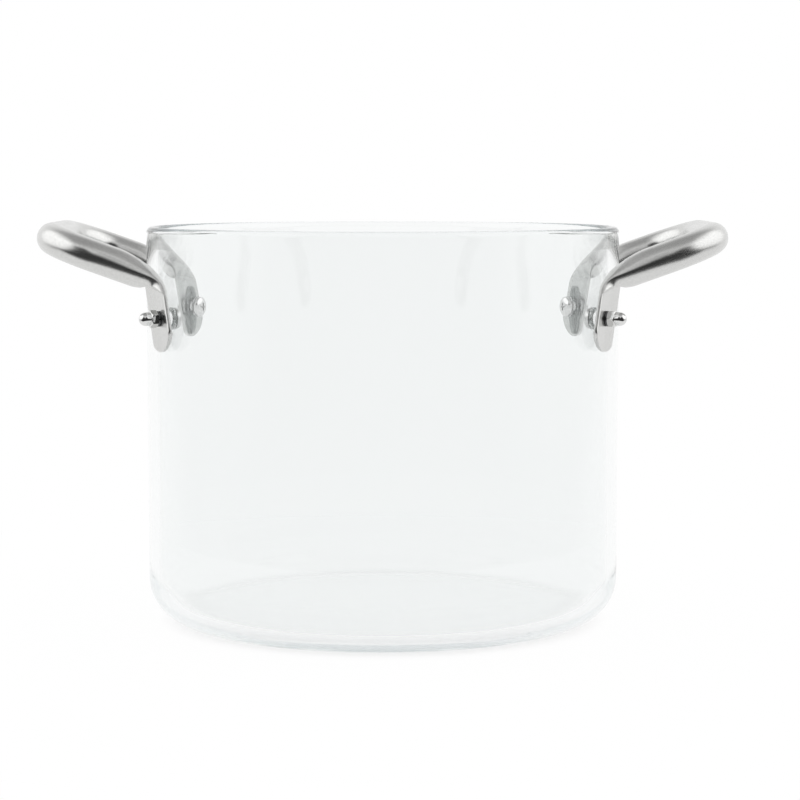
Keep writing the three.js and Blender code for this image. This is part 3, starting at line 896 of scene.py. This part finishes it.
class GLASS_POT_OT_seal_washers(Operator):
    """Turns a soft seal washer and copies it under the screw heads"""

    bl_idname = "glass_pot.seal_washers"
    bl_label = "Seal washers"

    def execute(self, context):
        bolt = bolt_settings()
        middle = from_axis("right_front_seal_washer")
        start, end = middle - bolt.seal_thickness / 2, middle + bolt.seal_thickness / 2
        corners = [(start, bolt.clear), (start, bolt.seal), (end, bolt.seal), (end, bolt.clear)]
        washer = turn_outline("seal_washer", soft_ring(corners), (1, 0, 0))
        shade(washer)
        material = shared_material("soft_silicone", silicone_material)
        spread_on_bolts(washer, "seal_washer", material)
        return {"FINISHED"}


class GLASS_POT_OT_bushes(Operator):
    """Draws a soft bush, its sleeve and its oval pad, and copies it into the glass holes"""

    bl_idname = "glass_pot.bushes"
    bl_label = "Bushes"

    def execute(self, context):
        bolt = bolt_settings()
        start = from_axis("right_front_seal_washer") + bolt.seal_thickness / 2 + bolt.seat_gap
        pad = vessel_settings().radius + bolt.seat_gap
        end = pad + bolt.pad_thickness
        edge = bolt.soft_edge
        rings = [
            self.circle(start, bolt.clear),
            self.circle(start, bolt.sleeve - edge),
            self.circle(start + edge, bolt.sleeve),
            self.circle(pad, bolt.sleeve),
            self.oval(pad, edge),
            self.oval(pad + edge, 0),
            self.oval(end - edge, 0),
            self.oval(end, edge),
            self.circle(end, bolt.clear),
            self.circle(start, bolt.clear),
        ]
        bush = loft("bush", rings, closed=True)
        shade(bush)
        material = shared_material("soft_silicone", silicone_material)
        spread_on_bolts(bush, "bush", material)
        return {"FINISHED"}

    @staticmethod
    def circle(x, radius):
        return ring_round_bolt(x, radius, radius)

    @staticmethod
    def oval(x, inset):
        bolt = bolt_settings()
        half, middle = (bolt.pad_rise + bolt.pad_fall) / 2, (bolt.pad_rise - bolt.pad_fall) / 2
        return ring_round_bolt(x, bolt.pad - inset, half - inset, middle)


def ring_round_bolt(x, half_width, half_height, middle=0.0):
    """Points of an oval square to X."""
    ring = []
    for number in range(TURNED_STEPS):
        turn = 2 * math.pi * number / TURNED_STEPS
        ring.append(Vector((x, half_width * math.cos(turn), middle + half_height * math.sin(turn))))
    return ring


def washer_foot():
    """Where a spring washer's inner face lies along its bolt, drawn up to the tab."""
    bolt = bolt_settings()
    packed_foot = from_axis("right_front_spring_washer") - bolt.washer_thickness / 2
    return packed_foot - bolt.seat_gap + bolt.drawn_gap


class GLASS_POT_OT_spring_washers(Operator):
    """Draws a split spring washer round its bolt and copies it under the nuts"""

    bl_idname = "glass_pot.spring_washers"
    bl_label = "Spring washers"

    def execute(self, context):
        bolt = bolt_settings()
        start = washer_foot()
        end = start + bolt.washer_thickness
        corners = [(start, bolt.clear), (start, bolt.washer), (end, bolt.washer), (end, bolt.clear)]
        section = soft_ring(corners)[:-1]
        half_split = bolt.washer_split / bolt.washer / 2
        rings = []
        for step in range(WASHER_STEPS + 1):
            turn = mix(half_split, 2 * math.pi - half_split, step / WASHER_STEPS)
            rings.append([Vector((x, r * math.cos(turn), r * math.sin(turn))) for x, r in section])
        washer = loft("spring_washer", rings)
        shade(washer)
        spread_on_bolts(washer, "spring_washer", spring_steel_material())
        return {"FINISHED"}


def nut_face():
    """Where a nut's face lies along its bolt."""
    bolt = bolt_settings()
    return washer_foot() + bolt.washer_thickness + bolt.drawn_gap


class GLASS_POT_OT_cap_nuts(Operator):
    """Draws a domed cap nut round its blind bore and copies it to the bolts"""

    bl_idname = "glass_pot.cap_nuts"
    bl_label = "Cap nuts"

    def execute(self, context):
        bolt = bolt_settings()
        face = nut_face()
        corner = bolt.nut * 2 / math.sqrt(3)
        chamfer = (corner - bolt.nut) / math.sqrt(3)
        bore_end = bolt.nut_height - bolt.cap
        worn_corner = corner * WORN_CORNER
        chamfer_foot = bolt.nut * CHAMFER_START
        fillet = 0.25 * MM
        pole = 0.05 * MM
        # Places along the nut, each with the greatest radius that the hexagon may have there.
        profile = [(bore_end, pole), (bore_end, bolt.clear), (0, bolt.clear), (0, chamfer_foot)]
        rise = []
        for step in range(1, CHAMFER_STEPS + 1):
            share = step / CHAMFER_STEPS
            rise.append((chamfer * share, mix(chamfer_foot, worn_corner, share)))
        profile += rise
        profile += [(bolt.hexagon - x, radius) for x, radius in reversed(rise)]
        profile += [(bolt.hexagon, chamfer_foot), (bolt.hexagon, bolt.dome + fillet)]
        inset = fillet * CORNER_CUT
        profile += [(bolt.hexagon + inset, bolt.dome + inset), (bolt.hexagon + fillet, bolt.dome)]
        dome_foot = bolt.nut_height - bolt.dome
        profile += arc((dome_foot, 0), (bolt.dome, bolt.dome), 90, 1, CORNER_STEPS)
        rings = []
        for x, radius in profile:
            ring = []
            for number in range(NUT_POINTS):
                turn = 2 * math.pi * number / NUT_POINTS
                flat = bolt.nut / math.cos(turn % (math.pi / 3) - math.pi / 6)
                reach = min(radius, flat)
                ring.append(Vector((face + x, reach * math.cos(turn), reach * math.sin(turn))))
            rings.append(ring)
        nut = loft("cap_nut", rings)
        shade(nut, NUT_SMOOTH_ANGLE)
        material = shared_material("polished_steel", polished_steel_material)
        spread_on_bolts(nut, "cap_nut", material, left_spin=bolt.nut_turn)
        return {"FINISHED"}


class GLASS_POT_OT_stage(Operator):
    """Lays the floor, sets up the studio's light and places the camera"""

    bl_idname = "glass_pot.stage"
    bl_label = "Stage"

    def execute(self, context):
        self.lay_floor()
        self.light_studio()
        self.place_camera()
        context.scene.view_settings.view_transform = "Standard"
        # Light runs far along inside the glass before it leaves.
        paths = context.scene.cycles
        paths.max_bounces = paths.glossy_bounces = paths.transmission_bounces = GLASS_BOUNCES
        return {"FINISHED"}

    @staticmethod
    def lay_floor():
        stage = stage_settings()
        bpy.ops.object.select_all(action="DESELECT")
        bpy.ops.mesh.primitive_circle_add(vertices=FLOOR_STEPS, radius=stage.floor, fill_type="NGON")
        floor = bpy.context.object
        floor.name = floor.data.name = "floor"
        bpy.ops.object.mode_set(mode="EDIT")
        bpy.ops.mesh.select_all(action="SELECT")
        bpy.ops.transform.translate(value=(0, 0, -stage.floor_gap - stage.floor_edge))
        bpy.ops.mesh.extrude_region_move(TRANSFORM_OT_translate={"value": (0, 0, stage.floor_edge)})
        close_mesh(floor)
        floor.data.materials.append(floor_material())

    @staticmethod
    def light_studio():
        """White all round for the camera and the floor, and a shaped studio for gloss and glass.

        Glass sees a paler studio than steel, and paler still in what it lets through."""
        stage = stage_settings()
        world = bpy.data.worlds.new("studio")
        bpy.context.scene.world = world
        world.use_nodes = True
        tree = world.node_tree
        background = tree.nodes["Background"]
        way = add_node(tree, "ShaderNodeSeparateXYZ")
        tree.links.new(add_node(tree, "ShaderNodeTexCoord").outputs["Generated"], way.inputs[0])
        x, y, z = way.outputs
        over = math_node(tree, "ARCTAN2", z, math_node(tree, "MULTIPLY", y, -1.0))
        aside = math_node(tree, "ABSOLUTE", x)
        # The dark zone in front reaches higher on either side of its middle.
        raised = range_node(tree, aside, 0.08, 0.25, 0.0, math.radians(20))
        raised = math_node(tree, "MULTIPLY", raised, range_node(tree, aside, 0.55, 0.68, 1.0, 0.0))
        raised = math_node(tree, "MULTIPLY", raised, math_node(tree, "GREATER_THAN", over, 0.0))
        below_top = range_node(tree, over, math.radians(42), math.radians(65), 1.0, 0.0)
        raised = math_node(tree, "MULTIPLY", raised, below_top)
        over = math_node(tree, "SUBTRACT", over, raised)
        span = range_node(tree, over, -math.pi, math.pi, 0.0, 1.0, smooth=False)
        # Brightness by the angle over the top: back, floor, front, overhead and back again.
        stops = (
            (-180, 1.0), (-51, 1.0), (-37, 0.04), (14, 0.04), (27, 0.75), (38, 0.86), (48, 0.78),
            (62, 0.52), (78, 0.42), (108, 0.43), (122, 0.58), (134, 0.85), (146, 1.0), (180, 1.0),
        )
        arch = ramp_node(tree, span, [((degrees + 180) / 360, grey) for degrees, grey in stops])
        # Bright sides, which lean inwards towards the top.
        lifted = math_node(tree, "ADD", aside, math_node(tree, "MULTIPLY", z, 0.5))
        sides = range_node(tree, lifted, 0.77, 0.97, 0.0, 1.0)
        height = range_node(tree, z, -1.0, 1.0, 0.0, 1.0, smooth=False)
        # Their brightness from straight down to straight up.
        side_stops = (
            (0.0, 1.0), (0.28, 1.0), (0.36, 0.35), (0.44, 0.35),
            (0.5, 1.2), (0.62, 1.45), (0.85, 1.55), (1.0, 0.6),
        )
        shaped = mix_node(tree, sides, arch, ramp_node(tree, height, side_stops))
        path = add_node(tree, "ShaderNodeLightPath")
        plain = math_node(tree, "MAXIMUM", path.outputs["Is Camera Ray"], path.outputs["Is Diffuse Ray"])
        veiled = math_node(tree, "MULTIPLY", path.outputs["Is Singular Ray"], stage.veil)
        plain = math_node(tree, "MAXIMUM", plain, veiled)
        through = math_node(tree, "MULTIPLY", path.outputs["Is Transmission Ray"], stage.clear_veil)
        plain = math_node(tree, "MAXIMUM", plain, through)
        seen = mix_node(tree, plain, shaped, (stage.white, stage.white, stage.white, 1))
        tree.links.new(seen, background.inputs["Color"])
        matt = path.outputs["Is Diffuse Ray"]
        strength = range_node(tree, matt, 0.0, 1.0, 1.0, stage.fill, smooth=False)
        tree.links.new(strength, background.inputs["Strength"])

    @staticmethod
    def place_camera():
        stage = stage_settings()
        bpy.ops.object.camera_add(
            location=(0, -stage.distance, stage.camera_height),
            rotation=(math.pi / 2 - stage.pitch, 0, -stage.yaw),
        )
        camera = bpy.context.object
        camera.name = camera.data.name = "camera"
        camera.data.lens = stage.lens
        camera.data.sensor_width = SENSOR_WIDTH
        camera.data.clip_start = 10 * MM
        bpy.context.scene.camera = camera


BUILD_STEPS = (
    GLASS_POT_OT_vessel,
    GLASS_POT_OT_handles,
    GLASS_POT_OT_screws,
    GLASS_POT_OT_seal_washers,
    GLASS_POT_OT_bushes,
    GLASS_POT_OT_spring_washers,
    GLASS_POT_OT_cap_nuts,
    GLASS_POT_OT_stage,
)


class GLASS_POT_PT_panel(Panel):
    """Lists the steps that build the pot"""

    bl_idname = "GLASS_POT_PT_panel"
    bl_label = "Glass Pot"
    bl_space_type = "VIEW_3D"
    bl_region_type = "UI"
    bl_category = "Glass Pot"

    def draw(self, context):
        for step in BUILD_STEPS:
            self.layout.operator(step.bl_idname)


SETTINGS = {
    "glass_pot_vessel": VesselSettings,
    "glass_pot_handle": HandleSettings,
    "glass_pot_bolt": BoltSettings,
    "glass_pot_stage": StageSettings,
}
CLASSES = (*SETTINGS.values(), *BUILD_STEPS, GLASS_POT_PT_panel)


def register():
    for cls in CLASSES:
        bpy.utils.register_class(cls)
    for name, cls in SETTINGS.items():
        setattr(bpy.types.Scene, name, PointerProperty(type=cls))


def unregister():
    for name in SETTINGS:
        delattr(bpy.types.Scene, name)
    for cls in reversed(CLASSES):
        bpy.utils.unregister_class(cls)


def main():
    register()
    bpy.ops.glass_pot.vessel()
    bpy.ops.glass_pot.handles()
    bpy.ops.glass_pot.screws()
    bpy.ops.glass_pot.seal_washers()
    bpy.ops.glass_pot.bushes()
    bpy.ops.glass_pot.spring_washers()
    bpy.ops.glass_pot.cap_nuts()
    bpy.ops.glass_pot.stage()


if __name__ == "__main__":
    main()
